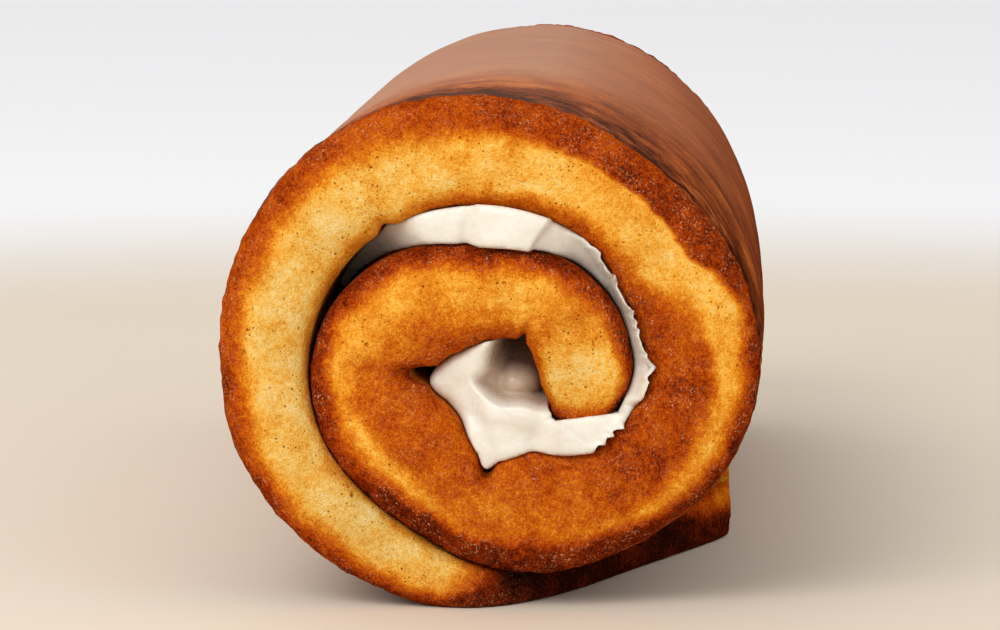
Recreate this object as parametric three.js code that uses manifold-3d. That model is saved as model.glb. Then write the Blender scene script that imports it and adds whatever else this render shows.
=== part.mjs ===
// Swiss roll cake: one baked sheet of sponge, rolled up from its short side with one layer of
// cream between the turns. Both ends are the sheet's own baked edges, not cuts.
// Millimetres, +Z up. The roll lies along Y and rests on z = 0; its front end faces -Y.
import * as THREE from "three";
import { mergeVertices } from "three/addons/utils/BufferGeometryUtils.js";
import Module from "manifold-3d";

const wasm = await Module();
wasm.setup();

// ---- driving dimensions ----

const ROLL_LENGTH = 230; // the short side of the baking tin
const CORE_X = 3.7; // the core is the line that the spiral is measured from
const CORE_Z = 33.7;

// The spiral, seen from the front: angles are 0 at the right and 90 at the top. The sheet is
// followed clockwise from its loose end, which lies under the roll, in to the core. Each list
// holds the distance from the core to one face of the sheet, once every STATION_DEG.
const LOOSE_END_DEG = -40;
const STATION_DEG = 20;
const TOTAL_TURN_DEG = 704;
const OUTER_FACE = [
  49, 39, 36, 35.5, 36.7, 38.6, 41, 42.7, 44.5, 45.4, 45.5, 45.1, 44.6, 43.7, 42.3, 40.5, 38.6, 36.1,
  32.9, 30.6, 28.9, 27.3, 26, 26.4, 28, 29.1, 28.9, 26.9, 24.2, 21.7, 21.2, 21.1, 20.7, 20.1, 19.6,
  17.9, 17.1,
];
const INNER_FACE = [
  41.4, 32.4, 29.4, 27.8, 26.5, 26.9, 28.5, 29.6, 30, 29.8, 29, 27.5, 26.3, 25.2, 23, 22.1, 21.8,
  18.4, 15.6, 11.4, 10.6, 11.6, 10, 8.6, 9.2, 11.4, 9.8, 8.1, 7.2, 6.9, 7.1, 7, 6, 5.5, 5.9, 8, 10.4,
];

// The two ends of the sheet don't lie along rays from the core: each face there leans on or back.
const LOOSE_END_TURN = 1;
const LOOSE_END_LEAN = 4;
const LOOSE_END_LEAN_REACH = 40;
const INNER_END_LEAN = -9.5;
const INNER_END_LEAN_REACH = 60;
const END_ROUNDING_DEG = 4;
const END_ROUNDING_STEPS = [0, 0.3, 0.7];
const END_THINNEST = 0.72; // share of the full thickness at the very end

// Folds along the sheet's inner face, where the warm sponge cracked as it was rolled.
const FOLDS = [
  { turn: 193, depth: 0.9, halfWidth: 4 },
  { turn: 355, depth: 0.9, halfWidth: 7 },
  { turn: 421, depth: 2.6, halfWidth: 9 },
  { turn: 507, depth: 3.2, halfWidth: 10 },
  { turn: 613, depth: 1.3, halfWidth: 7 },
];

// The sheet's baked edge: a rounded shoulder this deep on a face this square.
const EDGE_DEPTH = 4.6;
const EDGE_SQUARENESS = 2.5;
const EDGE_STEPS = [0.22, 0.62, 0.86, 0.97, 1];
const EDGE_WAVE = 0.7;
const EDGE_WAVES_PER_TURN = [2.3, 5.1];

// Each end's own numbers: how far the loose corner is rounded off, over how much of the turn,
// and how far the inner end of the sheet lies inside the rest.
const FRONT = { cornerCut: 76, cornerTurn: 62, innerSetback: 2.6, wavePhase: 0.4 };
const BACK = { cornerCut: 34, cornerTurn: 48, innerSetback: 2, wavePhase: 2.9 };
const INNER_SETBACK_TURN = 70;

// The roll narrows and drifts a little to the left towards its back end.
const NARROWING = 0.038;
const NARROWING_START = 0.35;
const DRIFT = 4.8;

// Shallow waves in the skin, on the free outside of the roll only.
const SKIN_WAVE = 0.3;
const SKIN_WAVES = [
  { perTurn: 3.4, length: 19 },
  { perTurn: 7.7, length: -11 },
];
const FREE_SKIN = { from: 75, to: 355, fade: 20 };

// Where the top meets the right side, the skin slopes down to the front edge.
const FRONT_SLOPE = { turn: 262, halfTurn: 62, drop: 4, reach: 45 };

const SHEET_STEP_DEG = 5;
const LENGTH_STEPS = 7;
const SLOPE_STATION = 0.05; // share of the length, halfway down the slope

// The cream: a ribbon between the turns that thins out at the left, and a filled core.
const CREAM_GAP = 0.33;
const CREAM_THINNEST = 0.45;
const RIBBON_START = 156;
const RIBBON_TIP = -13; // below the sheet's inner end the ribbon opens into the core
const RIBBON_END = -44;
const RIBBON_STEP_DEG = 5;
const RIBBON_SETBACK = [34, 18, 4, 2.8, 2.2, 5, 5.5, 4.5, 3.5, 2.2, 1.6, 1.6];
const RIBBON_SETBACK_START = 160;
const RIBBON_BACK = { share: 0.6, extra: 2 };
const RIBBON_EDGE = [[0.45, 0.1], [0.85, 0.5]]; // share of the width, depth in half widths
const LUMP = { angle: 90, halfWidth: 13, height: 2, steepness: 1.5 };
const CORE_SETBACK = 1.7;
const NOSE_SETBACK = 2.4;
const CORE_EDGE = [[0.35, 0], [0.75, 0.35], [0.93, 1.1], [1, 2.4]]; // share of the radius, depth
const POOL_TOP = { height: -7.4, slope: 0.16 }; // its height straight below the core, and its rise
const CORE_START = -34.7;
const CORE_STEP_DEG = 10;
const HOLLOW = { right: 1.7, up: 2.6, halfWidth: 5.8, halfHeight: 5.8, depth: 20 };
const HOLLOW_SEGMENTS = [18, 12];
const BLOB = { right: 1.2, up: -0.3, radius: 3.1, depth: 13, stretch: 1.6 };
const BLOB_SEGMENTS = [12, 8];

// The turns from which the sheet's inner face is free: round the whole coil, and round the core.
const COIL_FREE_TURN = 140;
const CORE_FREE_TURN = 355;

// ---- the roll's own form ----

const degrees = THREE.MathUtils.degToRad;
const smooth = (x) => THREE.MathUtils.smoothstep(x, 0, 1);

// A smooth curve through a list of evenly spaced values.
function along(list, position) {
  const last = list.length - 1;
  const i = THREE.MathUtils.clamp(Math.floor(position), 0, last - 1);
  const u = position - i;
  const before = list[i - 1] ?? 2 * list[i] - list[i + 1];
  const after = list[i + 2] ?? 2 * list[i + 1] - list[i];
  const slope = (list[i + 1] - before) / 2;
  const nextSlope = (after - list[i]) / 2;
  const rise = list[i + 1] - list[i];
  const bend = 3 * rise - 2 * slope - nextSlope;
  const twist = slope + nextSlope - 2 * rise;
  return list[i] + u * (slope + u * (bend + u * twist));
}

const angleAt = (turn) => LOOSE_END_DEG - turn;
const outerRadius = (turn) => along(OUTER_FACE, turn / STATION_DEG);
const innerRadius = (turn) => along(INNER_FACE, turn / STATION_DEG);

function leanAt(turn) {
  const atLooseEnd = LOOSE_END_LEAN * smooth(1 - turn / LOOSE_END_LEAN_REACH);
  const toInnerEnd = (TOTAL_TURN_DEG - turn) / INNER_END_LEAN_REACH;
  return atLooseEnd + INNER_END_LEAN * smooth(1 - toInnerEnd);
}

function foldDepth(turn) {
  let depth = 0;
  for (const fold of FOLDS) {
    const away = Math.abs(turn - fold.turn) / fold.halfWidth;
    depth += fold.depth * smooth(1 - away);
  }
  return depth;
}

// A point of the cross-section, by its angle and distance from the core, cut off flat at the base.
function sectionPoint(angle, radius) {
  const drop = -Math.sin(degrees(angle));
  const reach = drop > 0 ? Math.min(radius, CORE_Z / drop) : radius;
  return new THREE.Vector2(
    CORE_X + reach * Math.cos(degrees(angle)),
    CORE_Z + reach * Math.sin(degrees(angle)),
  );
}

// Puts a point of the cross-section into the narrowing, drifting body.
function placed(section, y) {
  const share = y / ROLL_LENGTH + 0.5;
  const late = Math.max(0, (share - NARROWING_START) / (1 - NARROWING_START));
  const scale = 1 - NARROWING * late ** 3;
  return new THREE.Vector3(section.x * scale - DRIFT * share ** 2, y, section.y * scale);
}

// How far the sheet's edge lies inside the roll's full length.
function setback(turn, end) {
  const corner = end.cornerCut * Math.max(0, 1 - turn / end.cornerTurn) ** 2;
  const inner = end.innerSetback * smooth((turn - TOTAL_TURN_DEG) / INNER_SETBACK_TURN + 1);
  let wave = 1;
  for (const perTurn of EDGE_WAVES_PER_TURN) {
    wave += Math.sin(degrees(turn * perTurn) + end.wavePhase) / EDGE_WAVES_PER_TURN.length;
  }
  return corner + inner + EDGE_WAVE * wave;
}

// How far the skin dips below the smooth outer face.
function skinDip(turn, y) {
  const rising = smooth((turn - FREE_SKIN.from) / FREE_SKIN.fade);
  const falling = smooth((FREE_SKIN.to - turn) / FREE_SKIN.fade);
  let wave = 1;
  for (const { perTurn, length } of SKIN_WAVES) {
    wave += Math.sin(degrees(turn * perTurn) + y / length) / SKIN_WAVES.length;
  }
  return SKIN_WAVE * rising * falling * wave;
}

function slopeDrop(turn, inFromEdge) {
  const away = Math.abs(turn - FRONT_SLOPE.turn) / FRONT_SLOPE.halfTurn;
  const left = Math.max(0, 1 - inFromEdge / FRONT_SLOPE.reach);
  return FRONT_SLOPE.drop * smooth(1 - away) * left ** 2;
}

// ---- meshes from rings ----

// Joins closed rings of equal length into one closed surface. A zipped cap pairs the first half
// of the end ring with the second half; a fan cap meets in the ring's middle.
function ringsToGeometry(rings, capStyle) {
  const count = rings[0].length;
  const points = rings.flat();
  const faces = [];
  for (let r = 0; r + 1 < rings.length; r += 1) {
    for (let k = 0; k < count; k += 1) {
      const a = r * count + k;
      const b = r * count + ((k + 1) % count);
      faces.push(a, b, b + count, a, b + count, a + count);
    }
  }
  for (const [start, flip] of [[0, true], [(rings.length - 1) * count, false]]) {
    const add = (a, b, c) => (flip ? faces.push(a, c, b) : faces.push(a, b, c));
    if (capStyle === "zip") {
      for (let k = 0; k < count / 2 - 1; k += 1) {
        const a = start + k;
        const d = start + count - 1 - k;
        add(a, a + 1, d - 1);
        add(a, d - 1, d);
      }
    } else {
      const middle = new THREE.Vector3();
      for (let k = 0; k < count; k += 1) middle.addScaledVector(points[start + k], 1 / count);
      points.push(middle);
      for (let k = 0; k < count; k += 1) add(start + k, start + ((k + 1) % count), points.length - 1);
    }
  }
  const geometry = new THREE.BufferGeometry();
  const position = new THREE.Float32BufferAttribute(points.flatMap((p) => p.toArray()), 3);
  geometry.setAttribute("position", position);
  geometry.setIndex(faces);
  return outward(geometry);
}

function signedVolume(geometry) {
  const position = geometry.getAttribute("position");
  const corners = [0, 1, 2].map(() => new THREE.Vector3());
  let sum = 0;
  for (let i = 0; i < geometry.index.count; i += 3) {
    corners.forEach((corner, k) => corner.fromBufferAttribute(position, geometry.index.getX(i + k)));
    sum += corners[0].dot(corners[1].cross(corners[2])) / 6;
  }
  return sum;
}

function outward(geometry) {
  if (signedVolume(geometry) < 0) geometry.setIndex([...geometry.index.array].reverse());
  return geometry;
}

function solidOf(geometry) {
  const bare = geometry.clone();
  bare.deleteAttribute("normal");
  bare.deleteAttribute("uv");
  const merged = mergeVertices(bare, 1e-4);
  return new wasm.Manifold(
    new wasm.Mesh({
      numProp: 3,
      vertProperties: merged.getAttribute("position").array,
      triVerts: new Uint32Array(merged.index.array),
    }),
  );
}

function geometryOf(solid) {
  const mesh = solid.getMesh();
  const geometry = new THREE.BufferGeometry();
  geometry.setAttribute("position", new THREE.BufferAttribute(mesh.vertProperties, 3));
  geometry.setIndex(new THREE.BufferAttribute(mesh.triVerts, 1));
  return geometry;
}

// ---- sponge ----

// The loop round the sheet at one turn: front edge, outer face, back edge, inner face.
function sheetRing(turn) {
  const lean = leanAt(turn);
  const fromEnd = Math.min(turn - LOOSE_END_TURN, TOTAL_TURN_DEG - turn) / END_ROUNDING_DEG;
  const rounding = Math.sqrt(1 - Math.max(0, 1 - fromEnd) ** 2);
  const fullness = END_THINNEST + (1 - END_THINNEST) * rounding;
  const outer = outerRadius(turn);
  const inner = innerRadius(turn) + foldDepth(turn);
  const middle = (outer + inner) / 2;
  const front = -ROLL_LENGTH / 2 + setback(turn, FRONT);
  const back = ROLL_LENGTH / 2 - setback(turn, BACK);

  // across runs from -1 on the inner face to 1 on the outer face
  const point = (across, y) => {
    const smoothRadius = middle + ((outer - inner) / 2) * across * fullness;
    const dip = skinDip(turn, y) + slopeDrop(turn, y - front);
    const radius = smoothRadius - dip * Math.max(0, across);
    return placed(sectionPoint(angleAt(turn) - lean * across, radius), y);
  };
  const shoulder = (across) => {
    const fall = (1 - across ** EDGE_SQUARENESS) ** (1 / EDGE_SQUARENESS);
    return EDGE_DEPTH * (1 - fall);
  };
  const half = (sign) => {
    const line = [];
    for (const step of EDGE_STEPS) line.push(point(sign * step, front + shoulder(step)));
    const start = front + EDGE_DEPTH;
    const run = back - EDGE_DEPTH - start;
    line.push(point(sign, start + run * SLOPE_STATION));
    for (let i = 1; i < LENGTH_STEPS; i += 1) {
      line.push(point(sign, start + (run * i) / LENGTH_STEPS));
    }
    for (const step of [...EDGE_STEPS].reverse()) line.push(point(sign * step, back - shoulder(step)));
    return line;
  };
  return [...half(1), ...half(-1).reverse()];
}

function makeSponge() {
  const atEnd = END_ROUNDING_STEPS.map((step) => step * END_ROUNDING_DEG);
  const turns = atEnd.map((step) => LOOSE_END_TURN + step);
  const last = TOTAL_TURN_DEG - END_ROUNDING_DEG;
  for (let turn = LOOSE_END_TURN + END_ROUNDING_DEG; turn < last; turn += SHEET_STEP_DEG) {
    turns.push(turn);
  }
  turns.push(...atEnd.reverse().map((step) => TOTAL_TURN_DEG - step));
  return ringsToGeometry(turns.map(sheetRing), "zip");
}

// ---- cream ----

// The turn of the sheet that passes an angle, counted from the turn given.
function turnAt(angle, from) {
  const turn = LOOSE_END_DEG - angle - from;
  return from + THREE.MathUtils.euclideanModulo(turn, 360);
}

// The room between the turns at an angle: what bounds it from outside, and from inside.
const roomOutside = (angle) => innerRadius(turnAt(angle, COIL_FREE_TURN)) - CREAM_GAP;

function roomInside(angle) {
  const tilt = POOL_TOP.slope * Math.cos(degrees(angle));
  if (angle < RIBBON_TIP) return POOL_TOP.height / (Math.sin(degrees(angle)) - tilt);
  const turn = turnAt(angle, COIL_FREE_TURN) + 360;
  return outerRadius(turn - leanAt(turn)) + CREAM_GAP;
}

function ribbonSetback(angle) {
  const base = along(RIBBON_SETBACK, (RIBBON_SETBACK_START - angle) / STATION_DEG);
  const away = Math.abs(angle - LUMP.angle) / LUMP.halfWidth;
  return base - LUMP.height * smooth(LUMP.steepness * (1 - away));
}

function ribbonRing(angle) {
  const outside = roomOutside(angle);
  const inside = Math.min(roomInside(angle), outside - CREAM_THINNEST);
  const halfWidth = (outside - inside) / 2;
  const front = -ROLL_LENGTH / 2 + ribbonSetback(angle);
  const back = ROLL_LENGTH / 2 - RIBBON_BACK.share * ribbonSetback(angle) - RIBBON_BACK.extra;
  const start = front + halfWidth;
  const run = back - halfWidth - start;
  const point = (across, y) => {
    const radius = (outside + inside) / 2 + across * halfWidth;
    return placed(sectionPoint(angle, radius), y);
  };
  const half = (sign) => {
    const line = RIBBON_EDGE.map(([share, depth]) => point(sign * share, front + depth * halfWidth));
    for (let i = 0; i <= LENGTH_STEPS; i += 1) {
      line.push(point(sign, start + (run * i) / LENGTH_STEPS));
    }
    for (const [share, depth] of [...RIBBON_EDGE].reverse()) {
      line.push(point(sign * share, back - depth * halfWidth));
    }
    return line;
  };
  return [...half(1), ...half(-1).reverse()];
}

function makeRibbon() {
  const rings = [];
  for (let angle = RIBBON_START; angle >= RIBBON_END; angle -= RIBBON_STEP_DEG) {
    rings.push(ribbonRing(angle));
  }
  return ringsToGeometry(rings, "zip");
}

// The innermost face of the sheet round the core, from the pool up the left and round to the tip.
function coreRadius(angle) {
  const turn = turnAt(angle, CORE_FREE_TURN);
  return innerRadius(turn + leanAt(turn)) - CREAM_GAP;
}

function coreRing(share, y, depth) {
  const points = [];
  for (let step = 0; step < 360; step += CORE_STEP_DEG) {
    const angle = CORE_START + step;
    const left = Math.max(0, -Math.cos(degrees(angle)));
    const inwards = y < 0 ? CORE_SETBACK + NOSE_SETBACK * left ** 2 + depth : -CORE_SETBACK - depth;
    points.push(placed(sectionPoint(angle, coreRadius(angle) * share), y + inwards));
  }
  return points;
}

function makeCore() {
  const end = ROLL_LENGTH / 2;
  const rings = CORE_EDGE.map(([share, depth]) => coreRing(share, -end, depth));
  for (let i = 1; i < LENGTH_STEPS; i += 1) {
    rings.push(coreRing(1, -end + (ROLL_LENGTH * i) / LENGTH_STEPS, 0));
  }
  for (const [share, depth] of [...CORE_EDGE].reverse()) rings.push(coreRing(share, end, depth));
  return ringsToGeometry(rings, "fan");
}

// A rounded hollow that goes into the core from one end.
function makeHollow(endY) {
  const hollow = new THREE.SphereGeometry(1, ...HOLLOW_SEGMENTS);
  const mouth = placed(new THREE.Vector2(CORE_X + HOLLOW.right, CORE_Z + HOLLOW.up), endY);
  hollow.scale(HOLLOW.halfWidth, HOLLOW.depth, HOLLOW.halfHeight);
  hollow.translate(mouth.x, mouth.y, mouth.z);
  return hollow;
}

// A soft blob of cream on the hollow's floor.
function makeBlob() {
  const blob = new THREE.SphereGeometry(BLOB.radius, ...BLOB_SEGMENTS);
  const section = new THREE.Vector2(CORE_X + BLOB.right, CORE_Z + BLOB.up);
  const at = placed(section, -ROLL_LENGTH / 2 + BLOB.depth);
  blob.scale(1, BLOB.stretch, 1);
  blob.translate(at.x, at.y, at.z);
  return blob;
}

function makeCream() {
  const solid = solidOf(makeRibbon())
    .add(solidOf(makeCore()))
    .subtract(solidOf(makeHollow(-ROLL_LENGTH / 2)))
    .subtract(solidOf(makeHollow(ROLL_LENGTH / 2)))
    .add(solidOf(makeBlob()));
  return geometryOf(solid);
}

// ---- the part ----

const SPONGE_LOOK = new THREE.MeshStandardMaterial({ color: 0xc9792c, roughness: 0.85, metalness: 0 });
const CREAM_LOOK = new THREE.MeshStandardMaterial({ color: 0xf5ecda, roughness: 0.35, metalness: 0 });

const roll = new THREE.Group();
for (const [name, geometry, look] of [
  ["sponge", makeSponge(), SPONGE_LOOK],
  ["cream", makeCream(), CREAM_LOOK],
]) {
  const mesh = new THREE.Mesh(geometry, look);
  mesh.name = name;
  roll.add(mesh);
}

export default roll;
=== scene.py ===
"""Swiss roll cake: the fine surface, the materials, the floor, the light and the camera."""

import itertools
import math

import bpy
import numpy as np
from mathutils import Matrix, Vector
from mathutils.geometry import delaunay_2d_cdt


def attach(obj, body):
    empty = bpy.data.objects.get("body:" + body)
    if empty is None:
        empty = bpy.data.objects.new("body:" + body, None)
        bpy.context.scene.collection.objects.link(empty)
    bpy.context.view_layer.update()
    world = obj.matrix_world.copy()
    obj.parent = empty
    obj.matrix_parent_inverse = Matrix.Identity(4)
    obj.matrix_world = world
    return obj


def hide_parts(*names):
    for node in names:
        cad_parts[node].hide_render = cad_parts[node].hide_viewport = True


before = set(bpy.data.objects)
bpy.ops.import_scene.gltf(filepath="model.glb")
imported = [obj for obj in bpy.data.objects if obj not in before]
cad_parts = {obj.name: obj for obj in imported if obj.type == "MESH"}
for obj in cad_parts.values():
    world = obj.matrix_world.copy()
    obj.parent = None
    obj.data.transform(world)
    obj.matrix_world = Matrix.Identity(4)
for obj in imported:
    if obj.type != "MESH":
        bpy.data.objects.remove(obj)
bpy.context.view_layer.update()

MM = 0.001

# ---- the roll's named sizes, in millimetres, as in the CAD source ----

ROLL_LENGTH = 230
CORE_X = 3.7
CORE_Z = 33.7
LOOSE_END_DEG = -40
STATION_DEG = 20
TOTAL_TURN_DEG = 704
OUTER_FACE = [
    49, 39, 36, 35.5, 36.7, 38.6, 41, 42.7, 44.5, 45.4, 45.5, 45.1, 44.6, 43.7, 42.3, 40.5, 38.6,
    36.1, 32.9, 30.6, 28.9, 27.3, 26, 26.4, 28, 29.1, 28.9, 26.9, 24.2, 21.7, 21.2, 21.1, 20.7,
    20.1, 19.6, 17.9, 17.1,
]
INNER_FACE = [
    41.4, 32.4, 29.4, 27.8, 26.5, 26.9, 28.5, 29.6, 30, 29.8, 29, 27.5, 26.3, 25.2, 23, 22.1,
    21.8, 18.4, 15.6, 11.4, 10.6, 11.6, 10, 8.6, 9.2, 11.4, 9.8, 8.1, 7.2, 6.9, 7.1, 7, 6, 5.5,
    5.9, 8, 10.4,
]
LOOSE_END_TURN = 1
LOOSE_END_LEAN = 4
LOOSE_END_LEAN_REACH = 40
INNER_END_LEAN = -9.5
INNER_END_LEAN_REACH = 60
END_ROUNDING_DEG = 4
END_THINNEST = 0.72

# Folds in the sheet's inner face: turn, depth, and half width in degrees.
FOLDS = [(193, 0.9, 4), (355, 0.9, 7), (421, 2.6, 9), (507, 3.2, 10), (613, 1.3, 7)]
EDGE_DEPTH = 4.6
EDGE_SQUARENESS = 2.5
EDGE_WAVE = 0.7
EDGE_WAVES_PER_TURN = [2.3, 5.1]
FRONT = {"corner_cut": 76, "corner_turn": 62, "inner_setback": 2.6, "phase": 0.4}
BACK = {"corner_cut": 34, "corner_turn": 48, "inner_setback": 2, "phase": 2.9}
INNER_SETBACK_TURN = 70
NARROWING = 0.038
NARROWING_START = 0.35
DRIFT = 4.8
RIBBON_START = 156
RIBBON_TIP = -13
RIBBON_SETBACK = [34, 18, 4, 2.8, 2.2, 5, 5.5, 4.5, 3.5, 2.2, 1.6, 1.6]
RIBBON_SETBACK_START = 160
POOL_TOP = {"height": -7.4, "slope": 0.16}
CORE_SETBACK = 1.7
NOSE_SETBACK = 2.4
COIL_FREE_TURN = 140
CORE_FREE_TURN = 355
HOLLOW = {"right": 1.7, "up": 2.6, "half_width": 5.8, "half_height": 5.8, "depth": 20}
BLOB = {"right": 1.2, "up": -0.3, "radius": 3.1, "depth": 13, "stretch": 1.6}
FRONT_SLOPE = {"turn": 262, "half_turn": 62, "drop": 4, "reach": 45}

# How the sheet's edge is baked, from the loose end in to the core. The widths are shares of the
# sheet's thickness, counted from its outer face. The levels run from 0, pale, past 1, dark brown,
# to 1.2, nearly black. The columns are:
# turn, rim width, rim fade, rim, gold, body from, body fade, body, inner width, inner
BAKING = [
    (0, .45, .16, 1.1, .42, .60, .20, .42, .10, .56),
    # The loose end's rows, from 10 to 46, are nearly black: its baked brown darkened with painted
    # shade, as the flap lies in shadow under the roll.
    (10, .80, .16, 1.22, .70, .90, .20, .90, .10, 1.0),
    (30, .92, .16, 1.22, 1.18, .90, .20, 1.18, .10, 1.18),
    (46, .92, .16, 1.22, 1.18, .90, .20, 1.18, .10, 1.18),
    (66, .20, .12, .92, .30, .30, .20, .24, .05, .36),
    (100, .14, .14, .86, .36, .36, .15, .16, .05, .38),
    (140, .16, .14, .84, .28, .32, .15, .15, .06, .34),
    (170, .17, .12, .78, .28, .34, .15, .14, .06, .34),
    (200, .22, .14, .72, .25, .36, .20, .17, .06, .42),
    (220, .28, .14, .78, .22, .50, .30, .18, .12, .55),
    (250, .35, .08, .82, .23, .60, .30, .20, .14, .60),
    (265, .34, .05, .87, .22, .62, .24, .21, .20, .66),
    (285, .35, .05, .92, .16, .66, .20, .24, .26, .72),
    (291, .16, .07, .88, .15, .55, .16, .38, .30, .72),
    (300, .09, .08, .90, .19, .42, .15, .58, .30, .74),
    (325, .09, .09, .90, .26, .36, .12, .79, .30, .80),
    (350, .10, .08, .99, .30, .30, .12, .78, .30, .78),
    (375, .15, .08, 1.0, .42, .26, .10, .60, .30, .68),
    (400, .24, .07, .99, .58, .38, .10, .54, .30, .62),
    (430, .22, .07, 1.02, .42, .36, .10, .57, .30, .66),
    (460, .17, .07, .94, .21, .36, .12, .62, .30, .70),
    (495, .14, .08, .90, .27, .34, .16, .64, .30, .76),
    (520, .10, .10, .90, .27, .42, .20, .58, .30, .74),
    (550, .10, .10, .95, .33, .50, .20, .46, .20, .68),
    (580, .16, .14, 1.0, .30, .64, .20, .42, .15, .66),
    (605, .14, .14, .98, .19, .70, .20, .44, .15, .64),
    (625, .11, .12, .96, .40, .60, .30, .48, .20, .62),
    (650, .09, .10, .96, .28, .50, .30, .26, .10, .52),
    (670, .08, .08, .94, .12, .50, .30, .12, .06, .44),
    (688, .08, .08, .92, .18, .44, .24, .30, .08, .50),
    (705, .08, .08, .90, .22, .46, .24, .34, .10, .54),
]

# How far the rim fades to either side of its width, in rim fades, and how much less where crisp.
FADE_IN, CRISPER_IN = 0.8, 0.3
FADE_OUT, CRISPER_OUT = 1.7, 0.7

# How much browner the sheet's inner end is, and over which degrees back from it that fades.
END_BROWNING = 0.42
END_BROWNED_DEG = (2, 15)

# The skins' own levels, and the turns over which the inner skin darkens towards the core, with
# painted shade for the hollow that it lines.
OUTER_SKIN_BROWN = 0.8
INNER_SKIN_BROWN = 0.42
PAINTED_CORE_SHADE = 0.45
PAINTED_CORE_SHADE_TURNS = (560, 620)

# Where the crumb is a cool pale yellow, 1, or a warm gold, 0, by turn.
TONE_TURNS = [0, 50, 70, 90, 130, 170, 200, 230, 300, 360, 420, 480, 560, 620, 650, 670, 705]
TONES = [0, 0, .8, .9, .65, .6, .45, .1, .3, .2, .35, .2, .15, .2, .4, .8, .35]
TONE_VARIATION = 0.28

# How much painted sheen, a pale colour that stands in for light reflected off the skin, and gloss
# the skin has, by turn: most at the top, least down the right side, whose colour is painted darker
# there as shade.
PAINTED_SHEEN_AND_GLOSS_TURNS = [0, 90, 170, 235, 275, 325, 355, 400]
PAINTED_SHEENS_AND_GLOSS = [0, 0.3, 1, 1, 0.56, 0.05, 0, 0]

# Points along the sheet, across its front and back edge, and from front to back over either skin:
# how many over the first share of the length, that share, and how many over the rest.
SHEET_STEPS = 668
FACE_STEPS = 61
BACK_FACE_STEPS = 21
OUTER_SKIN_STEPS = (32, 0.2, 18)
INNER_SKIN_STEPS = (8, 0.12, 6)

# How far in from the edge, in millimetres, its rounded face turns into skin, and how near to a side
# of the sheet, from -1 to 1, a point has to be to belong to the skin.
FACE_TO_SKIN = (3.2, EDGE_DEPTH + 0.2)
SKIN_SIDE = 0.999

# Turns between which the rim is crisp, stands a step above the crumb or shows as a raised line:
# from, fully from, fully to, to. The step and the line are in millimetres.
CRISP_RIM = (225, 255, 300, 312)
STEPPED_RIM = (208, 250, 296, 318)
LINED_RIM = (372, 400, 500, 520)
RIM_STEP = 0.42
RIM_LINE = 0.3

# The turns over which the outer skin passes from the open side into the roll.
OUTER_SKIN_END = (360, 385)

# Layers of noise by which the bounds of the browning wander, in shares of the sheet's thickness:
# strength, size in millimetres, seed, octaves.
WANDER = [(0.05, 7, 1, 2), (0.022, 1.8, 2, 2)]

# The sponge's relief, in millimetres.
SWELL = 0.28
FINE_SWELL = 0.16
CRUMB_LUMPS = 0.07
BROWNED_LUMPS = 0.15
SKIN_RIDGES = 0.5

# Places along the roll, from its middle, between which the skin's fine relief, its ridges and its
# wrinkles fade out; and how far in from the edge the skin's dark band fades out.
FINE_RELIEF_FADE = (-100, -60)
RIDGED_SKIN = (-106, -60)
WRINKLED_SKIN = (-104, -40)
EDGE_BAND = (4, 20)

# Near the floor the relief is weaker by this share, and below the last height there is none.
BASE_FLATTENING = 0.8
ABOVE_BASE = (0.6, 2.5)
FLAT_BELOW = 0.4
FLOOR_CLEARANCE = 0.02


# ---- small mathematics ----

def smooth(x):
    x = np.clip(x, 0, 1)
    return x * x * (3 - 2 * x)


def rise(x, low, high):
    return smooth((x - low) / (high - low))


def fall(x, low, high):
    """1 below the low value, 0 above the high one."""
    return rise(-x, -high, -low)


def span(x, low, full_low, full_high, high):
    """1 between the two full values, 0 below the low value and above the high one."""
    return rise(x, low, full_low) * fall(x, full_high, high)


def along(values, position):
    """A smooth curve through a list of evenly spaced values."""
    values = np.asarray(values, float)
    i = np.clip(np.floor(position).astype(int), 0, len(values) - 2)
    u = position - i
    ends = [[2 * values[0] - values[1]], values, [2 * values[-1] - values[-2]]]
    padded = np.concatenate(ends)
    v0, v1, v2, v3 = (padded[i + k] for k in range(4))
    slope, next_slope, step = (v2 - v0) / 2, (v3 - v1) / 2, v2 - v1
    bend, twist = 3 * step - 2 * slope - next_slope, slope + next_slope - 2 * step
    return v1 + u * (slope + u * (bend + u * twist))


GRADIENTS = np.random.default_rng(7).normal(size=(256, 3))
GRADIENTS /= np.linalg.norm(GRADIENTS, axis=1)[:, None]
HASH = np.array([73856093, 19349663, 83492791])


def noise(points, size, seed, octaves=1):
    """Gradient noise from about -1 to 1 with features of that size, at points of shape (..., 3)."""
    total, weight = 0, 1
    for octave in range(octaves):
        p = points / size * 2 ** octave + 17.3 * (seed + octave)
        base = np.floor(p).astype(np.int64)
        f = p - base
        fade = f * f * f * (f * (f * 6 - 15) + 10)
        for corner in itertools.product((0, 1), repeat=3):
            key = (base + corner) * HASH
            mixed = key[..., 0] ^ key[..., 1] ^ key[..., 2]
            gradient = GRADIENTS[(mixed + (mixed >> 9)) & 255]
            share = np.prod(np.where(corner, fade, 1 - fade), axis=-1)
            total = total + weight * 1.6 * share * np.sum(gradient * (f - corner), axis=-1)
        weight /= 2
    return total


def uneven(value, points, layers):
    """A value with layers of noise added, each a strength, a size, a seed and octaves."""
    for strength, size, seed, octaves in layers:
        value = value + strength * noise(points, size, seed, octaves)
    return value


# ---- the roll's own form ----

def lean_at(turn):
    loose = LOOSE_END_LEAN * smooth(1 - turn / LOOSE_END_LEAN_REACH)
    return loose + INNER_END_LEAN * smooth(1 - (TOTAL_TURN_DEG - turn) / INNER_END_LEAN_REACH)


def fold_depth(turn):
    return sum(depth * smooth(1 - np.abs(turn - at) / half) for at, depth, half in FOLDS)


def outer_radius(turn):
    return along(OUTER_FACE, turn / STATION_DEG)


def inner_radius(turn):
    return along(INNER_FACE, turn / STATION_DEG)


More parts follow.
